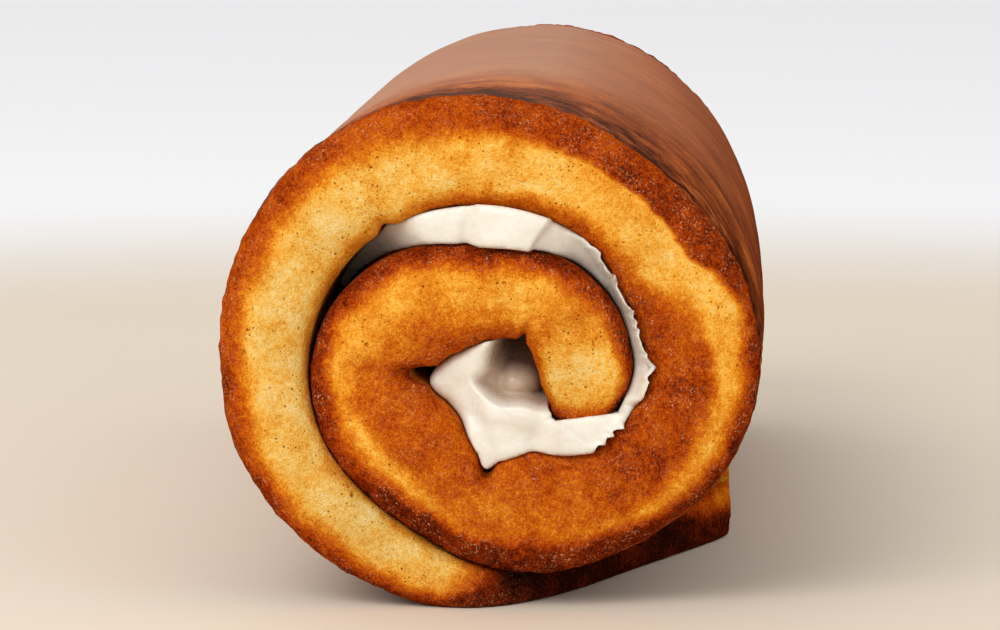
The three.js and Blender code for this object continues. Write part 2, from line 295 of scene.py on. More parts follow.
def section(angle, radius):
    """A point of the cross-section, cut off flat at the base, as x and z."""
    a = np.radians(angle)
    drop = np.maximum(-np.sin(a), 1e-6)
    reach = np.minimum(radius, np.where(np.sin(a) < 0, CORE_Z / drop, np.inf))
    return CORE_X + reach * np.cos(a), CORE_Z + reach * np.sin(a)


def placed(x, z, y):
    share = y / ROLL_LENGTH + 0.5
    late = np.maximum(0, (share - NARROWING_START) / (1 - NARROWING_START))
    scale = 1 - NARROWING * late ** 3
    return np.stack([x * scale - DRIFT * share ** 2, y + 0 * x, z * scale], axis=-1)


def setback(turn, end):
    corner = end["corner_cut"] * np.maximum(0, 1 - turn / end["corner_turn"]) ** 2
    inner = end["inner_setback"] * smooth((turn - TOTAL_TURN_DEG) / INNER_SETBACK_TURN + 1)
    waves = [np.sin(np.radians(turn * k) + end["phase"]) / 2 for k in EDGE_WAVES_PER_TURN]
    return corner + inner + EDGE_WAVE * (1 + sum(waves))


def slope_drop(turn, in_from_edge):
    away = np.abs(turn - FRONT_SLOPE["turn"]) / FRONT_SLOPE["half_turn"]
    left = np.maximum(0, 1 - in_from_edge / FRONT_SLOPE["reach"])
    return FRONT_SLOPE["drop"] * smooth(1 - away) * left ** 2


def shoulder(across):
    """How far the sheet's edge falls back, from 0 in its middle to the full depth at its sides."""
    left = np.maximum(0, 1 - np.abs(across) ** EDGE_SQUARENESS)
    return EDGE_DEPTH * (1 - left ** (1 / EDGE_SQUARENESS))


# ---- the sponge ----

def even_face(steps):
    """Positions across the sheet's edge, from -1 to 1, evenly spaced along its rounded face."""
    across = np.sin(np.linspace(-math.pi / 2, math.pi / 2, 4001))
    length = np.hypot(np.diff(across * 8), np.diff(shoulder(across)))
    walked = np.concatenate([[0], np.cumsum(length)])
    return np.interp(np.linspace(0, walked[-1], steps), walked, across)


def skin_shares(front_steps, front_share, rest_steps):
    near = np.linspace(0, front_share, front_steps, endpoint=False)[1:]
    return np.concatenate([near, np.linspace(front_share, 1, rest_steps, endpoint=False)])


def even_turns():
    """Turns of the sheet that are evenly spaced along its middle."""
    fine = np.linspace(LOOSE_END_TURN, TOTAL_TURN_DEG, 8001)
    middle = (outer_radius(fine) + inner_radius(fine)) / 2
    walked = np.concatenate([[0], np.cumsum(np.radians(np.diff(fine)) * middle[1:])])
    turns = np.interp(np.linspace(0, walked[-1], SHEET_STEPS), walked, fine)
    return turns, np.linspace(0, walked[-1], SHEET_STEPS)


def ring_template():
    """Round the sheet's section: across, share of the length, and depth inside either end."""
    front, back = even_face(FACE_STEPS), even_face(BACK_FACE_STEPS)[::-1]
    outer, inner = skin_shares(*OUTER_SKIN_STEPS), skin_shares(*INNER_SKIN_STEPS)[::-1]
    across = np.concatenate([front, np.ones(len(outer)), back, -np.ones(len(inner))])
    share = np.concatenate([0 * front, outer, 0 * back + 1, inner])
    inset = np.concatenate([
        shoulder(front),
        EDGE_DEPTH * (1 - 2 * outer),
        -shoulder(back),
        EDGE_DEPTH * (1 - 2 * inner),
    ])
    return across, share, inset


def cap_faces(ring, flip):
    """Closes an end ring by joining its outer side to its inner side."""
    faces = []
    up, down = list(ring[: len(ring) // 2]), list(ring[len(ring) // 2:])[::-1]
    i = j = 0
    while i + 1 < len(up) or j + 1 < len(down):
        go_up = j + 1 >= len(down) or (i + 1 < len(up) and i * len(down) <= j * len(up))
        face = (up[i], up[i + 1], down[j]) if go_up else (up[i], down[j + 1], down[j])
        faces.append(face[::-1] if flip else face)
        i, j = (i + 1, j) if go_up else (i, j + 1)
    return faces


def new_mesh(name, points, faces):
    mesh = bpy.data.meshes.new(name)
    mesh.from_pydata(points, [], faces)
    mesh.validate()
    mesh.update()
    mesh.polygons.foreach_set("use_smooth", np.ones(len(mesh.polygons), bool))
    return mesh


def vertex_normals(mesh):
    normals = np.zeros(len(mesh.vertices) * 3, np.float32)
    mesh.vertex_normals.foreach_get("vector", normals)
    return normals.reshape(-1, 3).astype(float)


def keep_value(mesh, name, values, kind="FLOAT", field="value"):
    attribute = mesh.attributes.new(name, kind, "POINT")
    attribute.data.foreach_set(field, np.asarray(values, np.float32).ravel())


def finished(mesh, name, material):
    obj = bpy.data.objects.new(name, mesh)
    bpy.context.scene.collection.objects.link(obj)
    mesh.materials.append(material)
    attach(obj, "root")
    return obj


def sheet_faces(rows, count):
    """Quads between the rings, and a cap on the loose end and on the inner end."""
    index = np.arange(rows * count).reshape(rows, count)
    turned = np.roll(index, -1, axis=1)
    quads = np.stack([index[:-1], index[1:], turned[1:], turned[:-1]], axis=-1).reshape(-1, 4)
    return quads.tolist() + cap_faces(index[0], False) + cap_faces(index[-1], True)


def edge_browning(points, turn, depth):
    """How brown the sheet's edge is, the depth that its rim follows, and the rim's width."""
    d = depth + uneven(0, points, WANDER) * rise(depth, 0, 0.06)
    columns = list(zip(*BAKING))
    look = [np.interp(turn, columns[0], column) for column in columns[1:]]
    rim_width, rim_fade, rim, gold, body_from, body_fade, body, inner_width, inner_level = look
    crisp = span(turn, *CRISP_RIM)
    rim_start = rim_width - rim_fade * (FADE_IN - CRISPER_IN * crisp)
    rim_end = rim_width + rim_fade * (FADE_OUT - CRISPER_OUT * crisp)
    brown = gold + (rim - gold) * (1 - rise(d, rim_start, rim_end))
    brown = brown + (body - gold) * rise(d, body_from - body_fade / 2, body_from + body_fade)
    at_inner = rise(d, 1 - inner_width - 0.08, 1 - inner_width * 0.4)
    brown = brown + (np.maximum(inner_level, body) - body) * at_inner
    brown += END_BROWNING * (1 - rise(TOTAL_TURN_DEG - turn, *END_BROWNED_DEG))
    browned = rise(brown, 0.35, 0.6)
    brown += (0.07 + 0.06 * browned) * noise(points, 6, 3, 3)
    brown += 0.06 * browned * noise(points, 1.6, 4, 2)
    return brown, d, rim_width


def rim_relief(turn, d, rim_width):
    """How far the rim stands above the crumb."""
    step = RIM_STEP * span(turn, *STEPPED_RIM) * (1 - rise(d, rim_width + 0.01, rim_width + 0.05))
    line = RIM_LINE * span(turn, *LINED_RIM) * (1 - rise(d, rim_width - 0.02, rim_width + 0.06))
    return step + line


def make_sponge(material):
    turns, walked = even_turns()
    across, share, inset = ring_template()
    t, a = turns[:, None], across[None, :]
    outer, inner = outer_radius(t), inner_radius(t) + fold_depth(t)
    from_end = np.minimum(t - LOOSE_END_TURN, TOTAL_TURN_DEG - t) / END_ROUNDING_DEG
    end_rounding = np.sqrt(1 - np.maximum(0, 1 - from_end) ** 2)
    fullness = END_THINNEST + (1 - END_THINNEST) * end_rounding
    radius = (outer + inner) / 2 + (outer - inner) / 2 * a * fullness
    angle = LOOSE_END_DEG - t - lean_at(t) * a
    front = -ROLL_LENGTH / 2 + setback(t, FRONT)
    back = ROLL_LENGTH / 2 - setback(t, BACK)
    y = front * (1 - share) + back * share + inset
    radius = radius - slope_drop(t, y - front) * np.maximum(0, a)
    x, z = section(angle, radius)
    points = placed(x, z, y).reshape(-1, 3)
    rows, count = len(turns), len(across)
    mesh = new_mesh("sponge_surface", points, sheet_faces(rows, count))

    turn = np.repeat(turns, count)
    side = np.tile(across, rows)
    in_from_front = (y - front).reshape(-1)
    at_edge = np.minimum(y - front, back - y).reshape(-1)
    thickness = np.broadcast_to(outer - inner, y.shape).reshape(-1)
    depth = (1 - side) / 2
    face = 1 - rise(at_edge, *FACE_TO_SKIN)
    outside = (side > SKIN_SIDE) * (1 - face)
    inside = (side < -SKIN_SIDE) * (1 - face)

    brown, d, rim_width = edge_browning(points, turn, depth)
    inner_skin = INNER_SKIN_BROWN + 0.12 * noise(points, 6, 5)
    # Painted shade: the inner skin is darker where it lines the core's hollow.
    inner_skin = inner_skin + PAINTED_CORE_SHADE * rise(turn, *PAINTED_CORE_SHADE_TURNS)
    brown = np.where(inside > 0, inner_skin * inside + brown * (1 - inside), brown)
    brown = brown * (1 - outside) + outside * OUTER_SKIN_BROWN

    # relief: swelling, lumps that are larger where it is browned, the rim, and the skin's ridges
    along_roll, height = points[:, 1], points[:, 2]
    open_air = np.where(side > 0, fall(turn, *OUTER_SKIN_END), 0)
    open_air = np.maximum(open_air, face)
    fine = 1 - outside * rise(along_roll, *FINE_RELIEF_FADE)
    swell = SWELL * noise(points, 13, 6) + FINE_SWELL * fine * noise(points, 4.5, 7)
    lumps = CRUMB_LUMPS + BROWNED_LUMPS * rise(brown, 0.4, 0.75)
    rough = lumps * fine * noise(points, 1.8, 8, 2)
    ridge_place = np.stack([walked.repeat(count) / 3, along_roll, 0 * turn], axis=-1)
    ridges = noise(ridge_place, 4.2, 9, 2) * fall(along_roll, *RIDGED_SKIN)
    lift = open_air * (swell + rough) + face * rim_relief(turn, d, rim_width)
    lift += SKIN_RIDGES * outside * open_air * ridges
    lift *= 1 - BASE_FLATTENING * fall(height, *ABOVE_BASE)
    lift = np.where(height < FLAT_BELOW, 0, lift)
    moved = points + vertex_normals(mesh) * lift[:, None]
    moved[:, 2] = np.maximum(moved[:, 2], FLOOR_CLEARANCE)
    mesh.vertices.foreach_set("co", (moved * MM).astype(np.float32).ravel())
    mesh.update()

    # what the material reads: millimetres along the sheet, along the roll and through the sheet
    sheet = np.stack([walked.repeat(count), along_roll, side * thickness / 2], axis=-1)
    keep_value(mesh, "brown", brown)
    tone = np.interp(turn, TONE_TURNS, TONES) * rise(depth, 0.1, 0.6)
    tone = tone + TONE_VARIATION * noise(points, 8, 10, 2)
    keep_value(mesh, "tone", np.clip(tone, 0, 1))
    keep_value(mesh, "skin", outside)
    keep_value(mesh, "wrinkled", fall(along_roll, *WRINKLED_SKIN))
    keep_value(mesh, "painted_sheen_and_gloss", outside * np.interp(turn, PAINTED_SHEEN_AND_GLOSS_TURNS, PAINTED_SHEENS_AND_GLOSS))
    keep_value(mesh, "ridge", outside * ridges)
    keep_value(mesh, "edge_band", outside * (1 - rise(in_from_front, *EDGE_BAND)))
    keep_value(mesh, "sheet", sheet, "FLOAT_VECTOR", "vector")
    obj = finished(mesh, "sponge_roll", material)
    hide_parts("sponge")
    return obj


# ---- the cream ----

# How the cream lies against the sheet, in millimetres and by turn: it fills the folds in part, but
# leaves one open.
CREAM_GAP = 0.1
SHEET_HALF_THICKNESS = 6
LONGEST_CONTACT = 0.5
CONTACT_FADE = 0.5
LEAST_SETBACK = 0.4
POOL_LIFT = 0.45
THINNEST_RIBBON = 0.5
OPEN_FOLD_TURN, OPEN_FOLD_HALF = 507, 10
FOLD_FILLED = 0.55
CORE_END_TURN = 715.5
BEYOND_CORE = (0.4, 0.8)

# How finely the cream is divided: its triangles' side and their height as a share of it, how far
# they stay off the outline in sides, and the steps of its walls, which are crowded at the front.
CREAM_SPACING = 0.3
TRIANGLE_HEIGHT = 0.87
OFF_OUTLINE = 0.6
CREAM_WALL_STEPS = 30
WALL_CROWDING = 1.6

# Where shade is painted on the hollow's cream as a browner colour: how deep inside the roll, and
# how far from the core.
PAINTED_SHADE_DEPTH = (3.2, 6.5)
PAINTED_SHADE_RADIUS = (8.5, 12)


def turn_at(angle, start):
    return start + np.mod(LOOSE_END_DEG - angle - start, 360)


def beside_sheet(turn):
    """The cream's distance from the core where it lies against the sheet's inner face."""
    closed = np.abs(turn - OPEN_FOLD_TURN) > OPEN_FOLD_HALF
    filled = FOLD_FILLED * fold_depth(turn) * closed
    return inner_radius(turn + lean_at(turn)) + filled - CREAM_GAP


def room_outside(angle):
    return beside_sheet(turn_at(angle, COIL_FREE_TURN))


def beside_coil(angle):
    turn = turn_at(angle, COIL_FREE_TURN) + 360
    coil = outer_radius(turn - lean_at(turn)) + CREAM_GAP
    return np.minimum(coil, room_outside(angle) - THINNEST_RIBBON)


def pool_top(angle):
    a = np.radians(angle)
    return (POOL_TOP["height"] + POOL_LIFT) / (np.sin(a) - POOL_TOP["slope"] * np.cos(a))


def core_radius(angle):
    return beside_sheet(turn_at(angle, CORE_FREE_TURN))


def polar(x, z):
    angle = np.degrees(np.arctan2(z - CORE_Z, x - CORE_X))
    return angle, np.hypot(x - CORE_X, z - CORE_Z)


def cream_outline():
    """In along the sheet's inner face to the core, out over the pool, and back along the coil."""
    first = LOOSE_END_DEG - RIBBON_START + 360
    turns = np.linspace(first, CORE_END_TURN, 4000)
    core_end = LOOSE_END_DEG - CORE_END_TURN + 720
    pool = np.linspace(core_end, RIBBON_TIP, 400)
    coil = np.linspace(RIBBON_TIP, RIBBON_START, 1600)
    angles = np.concatenate([LOOSE_END_DEG - turns, pool, coil])
    radii = np.concatenate([beside_sheet(turns), pool_top(pool), beside_coil(coil)])
    fine = np.stack(section(angles, radii), axis=-1)
    fine = np.concatenate([fine, fine[:1]])
    walked = np.concatenate([[0], np.cumsum(np.linalg.norm(np.diff(fine, axis=0), axis=1))])
    stops = np.linspace(0, walked[-1], int(walked[-1] / CREAM_SPACING))[:-1]
    return np.stack([np.interp(stops, walked, fine[:, k]) for k in (0, 1)], axis=-1)


def inside_outline(outline, points):
    a, b = outline, np.roll(outline, -1, axis=0)
    x, z = points[:, :1], points[:, 1:]
    spans = (a[:, 1] > z) != (b[:, 1] > z)
    run = np.where(a[:, 1] == b[:, 1], 1, b[:, 1] - a[:, 1])
    left = x < a[:, 0] + (z - a[:, 1]) / run * (b[:, 0] - a[:, 0])
    return np.sum(spans & left, axis=1) % 2 == 1


def nearest_to(places, points):
    return np.min(np.hypot(*(points[:, None, :] - places[None]).transpose(2, 0, 1)), axis=1)


def cream_region():
    """The cream's cross-section as triangles: points (n, 2), triangles (m, 3)."""
    outline = cream_outline()
    low, high = outline.min(axis=0), outline.max(axis=0)
    rows = np.arange(low[1], high[1], CREAM_SPACING * TRIANGLE_HEIGHT)
    columns = np.arange(low[0], high[0], CREAM_SPACING)
    gx, gz = np.meshgrid(columns, rows)
    gx[1::2] += CREAM_SPACING / 2
    grid = np.stack([gx.ravel(), gz.ravel()], axis=-1)
    grid = grid[inside_outline(outline, grid)]
    grid = grid[nearest_to(outline, grid) > CREAM_SPACING * OFF_OUTLINE]
    n = len(outline)
    verts = [Vector(p) for p in np.concatenate([outline, grid])]
    made = delaunay_2d_cdt(verts, [(k, (k + 1) % n) for k in range(n)], [], 0, 1e-5)
    flat = np.array([tuple(p) for p in made[0]])
    triangles = np.array([f for f in made[2] if len(f) == 3])
    return flat, triangles[inside_outline(outline, flat[triangles].mean(axis=1))]


def boundary_loops(triangles):
    """The directed boundary edges of a triangulated region."""
    edges = np.concatenate([triangles[:, [0, 1]], triangles[:, [1, 2]], triangles[:, [2, 0]]])
    there = {tuple(e) for e in edges.tolist()}
    return [e for e in there if e[::-1] not in there]


# The front of the cream between the turns, by angle round the core: the lump at the top, with its
# broken right end and its crease, and the strip down the right side. Each degree of slant counts
# one more for every millimetre outside the slant's radius.
SLANT_RADIUS = 23
LUMP_BREAK_DEG = (75.5, 77.5)
LUMP_LEFT_DEG = (95, 112)
LUMP_HEIGHT = 1.7
LUMP_CREASE = {"at": 104, "half_width": 4, "depth": 0.6}
LUMP_FOLDS, LUMP_FOLDS_DEG = 0.3, (98, 106)
STRIP_FOLDS, STRIP_FOLDS_DEG = 0.55, (66, 73)
STRIP_DENT = {"at": -10, "half_width": 4.5, "depth": 1.4}
STRIP_TILT = 1.3
TILTED_STRIP = (-10, -2, 58, 70)

# The hollow: its wall's width where gentle and where steep, as shares of its radius, the ring at
# which it starts, its floor's depth on the shelf and in the middle, and the lip round it.
HOLLOW_WALL = (1.0, 0.3)
HOLLOW_START = 1.02
HOLLOW_LEFT_SQUEEZE = 0.8
HOLLOW_RIGHT_OPENING = 0.45
HOLLOW_SHELF = 4.5
HOLLOW_MIDDLE = 7.5
HOLLOW_LIP = {"height": 0.5, "ring": 1.22, "width": 0.28}

# The blob on the hollow's floor, which stands nearer here than in the CAD source, and the nose, the
# rounded left side of the core's cream.
BLOB_NEARER = 2
BLOB_STRETCH_RIGHT = 1.45
BLOB_SOFTNESS = 1.2
BLOB_SKIRT = 9
NOSE_PLUMPNESS = 2.2
NOSE_ROUNDING = 3.2

# The cream's rounded border, and its noise: strength, size in millimetres, seed, octaves.
BORDER_DROP = 0.6
BORDER_WIDTH = 1.1
FRONT_UNEVENNESS = [(0.42, 6, 32, 1), (0.13, 2.6, 33, 2), (0.03, 0.9, 34, 2)]
BACK_UNEVENNESS = [(0.42, 6, 35, 1), (0.22, 2.6, 36, 2)]

# Soft valleys across the pool: a place right of and above the core, how far they lean to the right
# per millimetre up, depth and half width.
POOL_VALLEYS = [(-3.9, -5, -0.33, 0.9, 1.7), (5.4, -7, 0.22, 0.7, 1.5)]

# The cream's torn outer edge: each flake's tip, by angle, how far it reaches out over the sponge,
# and how many degrees it spreads over before and after its tip.
FLAKES = [
    (61, 0.5, 3, 4), (54, 0.8, 2, 6), (45, 0.7, 4, 3), (42.5, 0.5, 1.2, 2), (30, 0.8, 2, 5),
    (26, 0.7, 1.5, 3), (23, 0.5, 2, 3), (13, 0.5, 3, 4), (7.5, 1.4, 3.5, 6), (2, 0.6, 2, 2),
    (-14.5, 0.5, 1.5, 1.5), (-18.5, 1.0, 2, 3), (-24, 0.6, 1.5, 2), (-29, 0.8, 2, 3),
    (-36, 0.5, 2, 2), (-41, 0.4, 2, 2),
]
FLAKE_DEPTH = 1.3
FLAKE_RAGGEDNESS = 0.28

# Where the cream's edge is torn, by angle, and how wide: the right strip and the pool's tip.
TORN_STRIP = (-8, 0, 50, 70)
TORN_TIP = (-46, -38, -18, -14)
TORN_WIDTH = 0.8


def ribbon_share(angle, radius):
    """1 in the ribbon between the turns and in the pool's end, 0 in the core."""
    near, far = BEYOND_CORE
    beyond = rise(radius, core_radius(angle) + near, core_radius(angle) + far)
    return beyond * (angle > LOOSE_END_DEG + 5)


def ribbon_setback(angle):
    last = len(RIBBON_SETBACK) - 1
    return along(RIBBON_SETBACK, np.clip((RIBBON_SETBACK_START - angle) / STATION_DEG, 0, last))


def rounding(near_edge, drop=BORDER_DROP, width=BORDER_WIDTH):
    """How far a rounded border falls back, by the distance from it."""
    return drop * (1 - np.sqrt(1 - (1 - np.clip(near_edge / width, 0, 1)) ** 2))


def contact_reach(depth):
    """How far the cream spreads over the sheet's rounded edge where its front lies that deep."""
    share = np.clip(depth / EDGE_DEPTH, 0, 1)
    across = (1 - (1 - share) ** EDGE_SQUARENESS) ** (1 / EDGE_SQUARENESS)
    return np.minimum(SHEET_HALF_THICKNESS * (1 - across), LONGEST_CONTACT)


def hollow_ring(x, z):
    """0 in the middle of the core's hollow and 1 at its rim, which opens wide to the right."""
    dx = (x - CORE_X - HOLLOW["right"]) / HOLLOW["half_width"]
    dz = (z - CORE_Z - HOLLOW["up"]) / HOLLOW["half_height"]
    dx = np.where(dx < 0, dx * HOLLOW_LEFT_SQUEEZE, dx)
    return np.hypot(dx, dz) - HOLLOW_RIGHT_OPENING * smooth(dx)


def hollow_depth(x, z, place, seed):
    """Steep below and at the right, a shallow shelf at the left, deepest at the upper right."""
    ring = hollow_ring(x, z) + 0.06 * noise(place, 5, seed)
    right, up = x - CORE_X, z - CORE_Z
    gentle, steep = HOLLOW_WALL
    wall = steep + (gentle - steep) * rise(up, 0, 3) * fall(right, -3, 1)
    floor = HOLLOW_SHELF + (HOLLOW_MIDDLE - HOLLOW_SHELF) * rise(right, -3.5, 0.5)
    deepest = rise(0.6 * right + 0.8 * up, 0, 6) * rise(right, -3, 2)
    floor = floor + (HOLLOW["depth"] - floor) * deepest
    return floor * smooth((HOLLOW_START - ring) / wall)


def pool_form(x, z):
    """The pool's valleys, and its lip, which stands up a little along the hollow's rim."""
    right, up = x - CORE_X, z - CORE_Z
    from_lip = (hollow_ring(x, z) - HOLLOW_LIP["ring"]) / HOLLOW_LIP["width"]
    depth = -HOLLOW_LIP["height"] * np.exp(-from_lip ** 2)
    for valley_right, valley_up, lean, deep, half_width in POOL_VALLEYS:
        away = right - valley_right - lean * (up - valley_up)
        depth = depth + deep * np.exp(-(away / half_width) ** 2)
    return depth * fall(up, -5, -0.5)


def blob_depth(x, z):
    dx = x - CORE_X - BLOB["right"]
    dx = np.where(dx > 0, dx / BLOB_STRETCH_RIGHT, dx)
    away = np.hypot(dx, z - CORE_Z - BLOB["up"]) / BLOB["radius"]
    height = BLOB["radius"] * BLOB["stretch"] * np.sqrt(np.clip(1 - away ** 2, 0, 1))
    return BLOB["depth"] - BLOB_NEARER - height + BLOB_SKIRT * np.maximum(0, away - 1)


def softly_nearer(a, b, softness):
    """The lesser of two depths, blended where they are about the same."""
    share = np.clip(0.5 + 0.5 * (b - a) / softness, 0, 1)
    return b + (a - b) * share - softness * share * (1 - share)


def flaked(angle, radius):
    """How much of the torn outer edge a point belongs to: the right strip and the pool's tip."""
    torn = span(angle, *TORN_STRIP) + span(angle, *TORN_TIP)
    edge = np.exp(-(np.maximum(0, room_outside(angle) - radius) / TORN_WIDTH) ** 2)
    return torn * edge * ribbon_share(angle, radius)


def flake_reach(angle):
    """How far the torn edge reaches out over the sponge."""
    reach = 0 * angle
    for tip, size, before, after in FLAKES:
        away = angle - tip
        share = 1 - np.where(away < 0, -away / before, away / after)
        reach = np.maximum(reach, size * np.clip(share, 0, 1))
    place = np.stack([angle / 2.6, 0 * angle, 0 * angle], axis=-1)
    return reach + FLAKE_RAGGEDNESS * noise(place, 0.9, 41, 2)


def dent(angle, form):
    return form["depth"] * smooth(1 - np.abs(angle - form["at"]) / form["half_width"])


def ribbon_front(angle, radius):
    """How deep the cream's front lies between the turns: the lump at the top and the strip."""
    slant = angle + (radius - SLANT_RADIUS)
    lump = rise(slant, *LUMP_BREAK_DEG) * (1 - rise(angle, *LUMP_LEFT_DEG))
    ribbon = ribbon_setback(angle) - LUMP_HEIGHT * lump + dent(slant, LUMP_CREASE)
    folds = noise(np.stack([angle / 9, radius / 9, 0 * angle], axis=-1), 0.8, 37)
    ribbon = ribbon + STRIP_FOLDS * folds * fall(angle, *STRIP_FOLDS_DEG)
    ribbon = ribbon + LUMP_FOLDS * folds * rise(angle, *LUMP_FOLDS_DEG)
    ribbon = ribbon + dent(angle, STRIP_DENT)
    beside = (room_outside(angle) - radius) / (room_outside(angle) - beside_coil(angle))
    tilt = STRIP_TILT * (2 * np.clip(beside, 0, 1) - 0.6)
    return ribbon + tilt * span(angle, *TILTED_STRIP)


def core_front(x, z, place, near_edge):
    """How deep the core's front lies: its nose at the left, and the hollow with the blob in it."""
    angle, radius = polar(x, z)
    left = np.maximum(0, -np.cos(np.radians(angle)))
    core = CORE_SETBACK + NOSE_SETBACK * left ** 2 * rise(radius, 1, 7)
    core = core + rise(left, 0.3, 0.8) * rounding(near_edge, NOSE_PLUMPNESS, NOSE_ROUNDING)
    hollow = hollow_depth(x, z, place, 31)
    return core + softly_nearer(hollow, blob_depth(x, z), BLOB_SOFTNESS)


def cream_front(x, z, near_edge):
    """How far the cream's front lies inside the roll's length."""
    angle, radius = polar(x, z)
    place = np.stack([x, 0 * x, z], axis=-1)
    core = core_front(x, z, place, near_edge)
    depth = core + (ribbon_front(angle, radius) - core) * ribbon_share(angle, radius)
    depth = uneven(depth + pool_form(x, z), place, FRONT_UNEVENNESS) + rounding(near_edge)
    edge = flaked(angle, radius)
    return depth * (1 - edge) + (FLAKE_DEPTH + 0.5 * noise(place, 1.4, 38)) * edge


def cream_back(x, z, near_edge):
    """How far the cream's back lies inside the roll's length, with a plainer hollow."""
    angle, radius = polar(x, z)
    place = np.stack([x, 0 * x + 90, z], axis=-1)
    core = CORE_SETBACK + hollow_depth(x, z, place, 39)
    depth = core + (ribbon_setback(angle) * 0.6 + 2 - core) * ribbon_share(angle, radius)
    return uneven(depth, place, BACK_UNEVENNESS) + rounding(near_edge)


def outward_normals(flat, border, rim):
    """For each point of the region, the outward direction of the nearest place on its border."""
    edges = np.array(border)
    run = flat[edges[:, 1]] - flat[edges[:, 0]]
    normals = np.zeros_like(flat)
    for side in (0, 1):
        np.add.at(normals, edges[:, side], np.stack([run[:, 1], -run[:, 0]], axis=-1))
    places = flat[rim]
    away = np.hypot(*(flat[:, None, :] - places[None]).transpose(2, 0, 1))
    chosen = normals[np.array(rim)[np.argmin(away, axis=1)]]
    return chosen / np.maximum(1e-9, np.linalg.norm(chosen, axis=1))[:, None]


def make_cream(material):
    flat, triangles = cream_region()
    used = np.unique(triangles)
    renumber = np.full(len(flat), -1)
    renumber[used] = np.arange(len(used))
    flat, triangles = flat[used], renumber[triangles]
    border = boundary_loops(triangles)
    rim = sorted({v for edge in border for v in edge})
    near_edge = nearest_to(flat[rim], flat)
    x, z = flat.T
    depth = np.maximum(LEAST_SETBACK, cream_front(x, z, near_edge))
    front = -ROLL_LENGTH / 2 + depth
    back = ROLL_LENGTH / 2 - np.maximum(LEAST_SETBACK, cream_back(x, z, near_edge))
    angle, radius = polar(x, z)
    torn = flaked(angle, radius)
    spread = contact_reach(depth) * np.exp(-(near_edge / CONTACT_FADE) ** 2) * (1 - torn)
    pushed = flat + outward_normals(flat, border, rim) * spread[:, None]
    reach = 1 + np.maximum(0, flake_reach(angle)) * torn / radius
    front_x = CORE_X + (pushed[:, 0] - CORE_X) * reach
    front_z = CORE_Z + (pushed[:, 1] - CORE_Z) * reach
    n = len(flat)
    points = [placed(front_x, front_z, front), placed(x, z, back)]
    rim_start, position = 2 * n, {v: k for k, v in enumerate(rim)}
    for share in (np.arange(1, CREAM_WALL_STEPS) / CREAM_WALL_STEPS) ** WALL_CROWDING:
        y = front[rim] + (back[rim] - front[rim]) * share
        points.append(placed(x[rim], z[rim], y))

    def rim_vertex(level, v):
        if level == 0:
            return v
        if level == CREAM_WALL_STEPS:
            return n + v
        return rim_start + (level - 1) * len(rim) + position[v]

    faces = triangles.tolist() + (triangles[:, ::-1] + n).tolist()
    for a, b in border:
        for level in range(CREAM_WALL_STEPS):
            faces.append((rim_vertex(level, b), rim_vertex(level, a),
                          rim_vertex(level + 1, a), rim_vertex(level + 1, b)))
    points = np.concatenate(points)
    mesh = new_mesh("cream_surface", points, faces)
    mesh.vertices.foreach_set("co", (points * MM).astype(np.float32).ravel())
    mesh.update()
    inward = ROLL_LENGTH / 2 - np.abs(points[:, 1])
    from_core = np.hypot(points[:, 0] - CORE_X, points[:, 2] - CORE_Z)
    # Painted shade: 1 deep inside the roll near the core, where the hollow is in shadow.
    painted_hollow_shade = rise(inward, *PAINTED_SHADE_DEPTH) * (1 - rise(from_core, *PAINTED_SHADE_RADIUS))
    keep_value(mesh, "painted_hollow_shade", painted_hollow_shade)
    obj = finished(mesh, "cream_filling", material)
    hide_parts("cream")
    return obj


# ---- materials ----

def srgb(red, green, blue):
    def linear(v):
        v /= 255
        return v / 12.92 if v <= 0.04045 else ((v + 0.055) / 1.055) ** 2.4
    return (linear(red), linear(green), linear(blue), 1)


